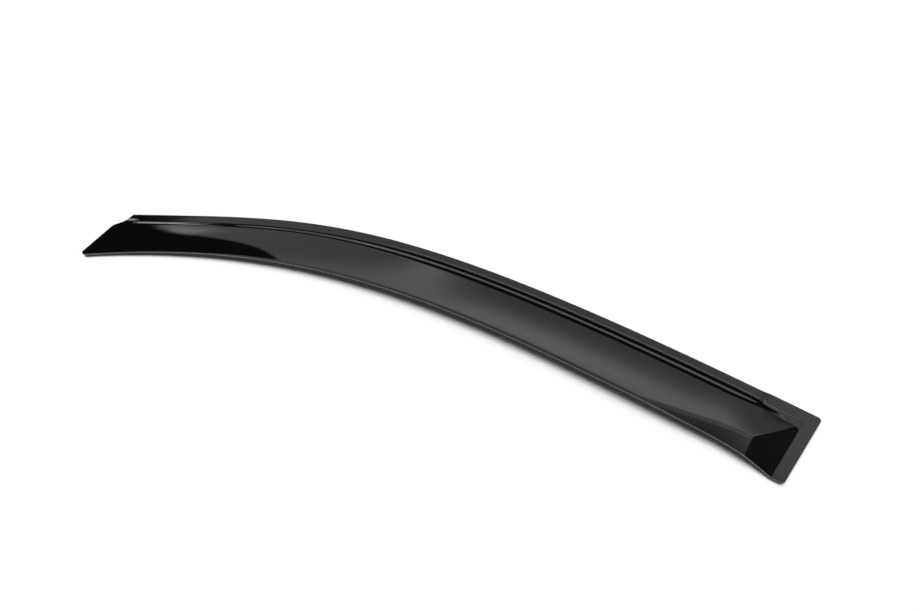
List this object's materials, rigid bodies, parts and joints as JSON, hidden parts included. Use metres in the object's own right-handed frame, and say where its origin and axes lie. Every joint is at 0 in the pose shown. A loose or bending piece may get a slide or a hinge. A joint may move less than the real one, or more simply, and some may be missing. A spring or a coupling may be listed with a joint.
{
  "type": "window rain deflector",
  "caption": "Long curved smoked acrylic visor that tapes along the top of a car's side window, with a flat flange, a stepped face that stands off the glass and a flat pad at each end.",
  "frame": {"origin": "centre of the footprint's bounding box, on the table that the release film rests on", "axes": "+X along the chord of the top edge, from the front tip to the rear end; +Y across the sheet, from the free edge to the flange; +Z out of the face, away from the window"},
  "size_m": [0.935, 0.1492, 0.0188],
  "materials": {
    "smoked_acrylic": "polished dark smoked acrylic, almost black, with a faint brown-red tint at its thin edges",
    "foam_tape": "dark grey acrylic foam tape",
    "release_film": "thin red release film"
  },
  "bodies": {
    "root": {"shield": "smoked_acrylic", "tape_top": "foam_tape", "tape_front": "foam_tape", "tape_rear": "foam_tape", "film_top": "release_film", "film_front": "release_film", "film_rear": "release_film"}
  },
  "joints": []
}
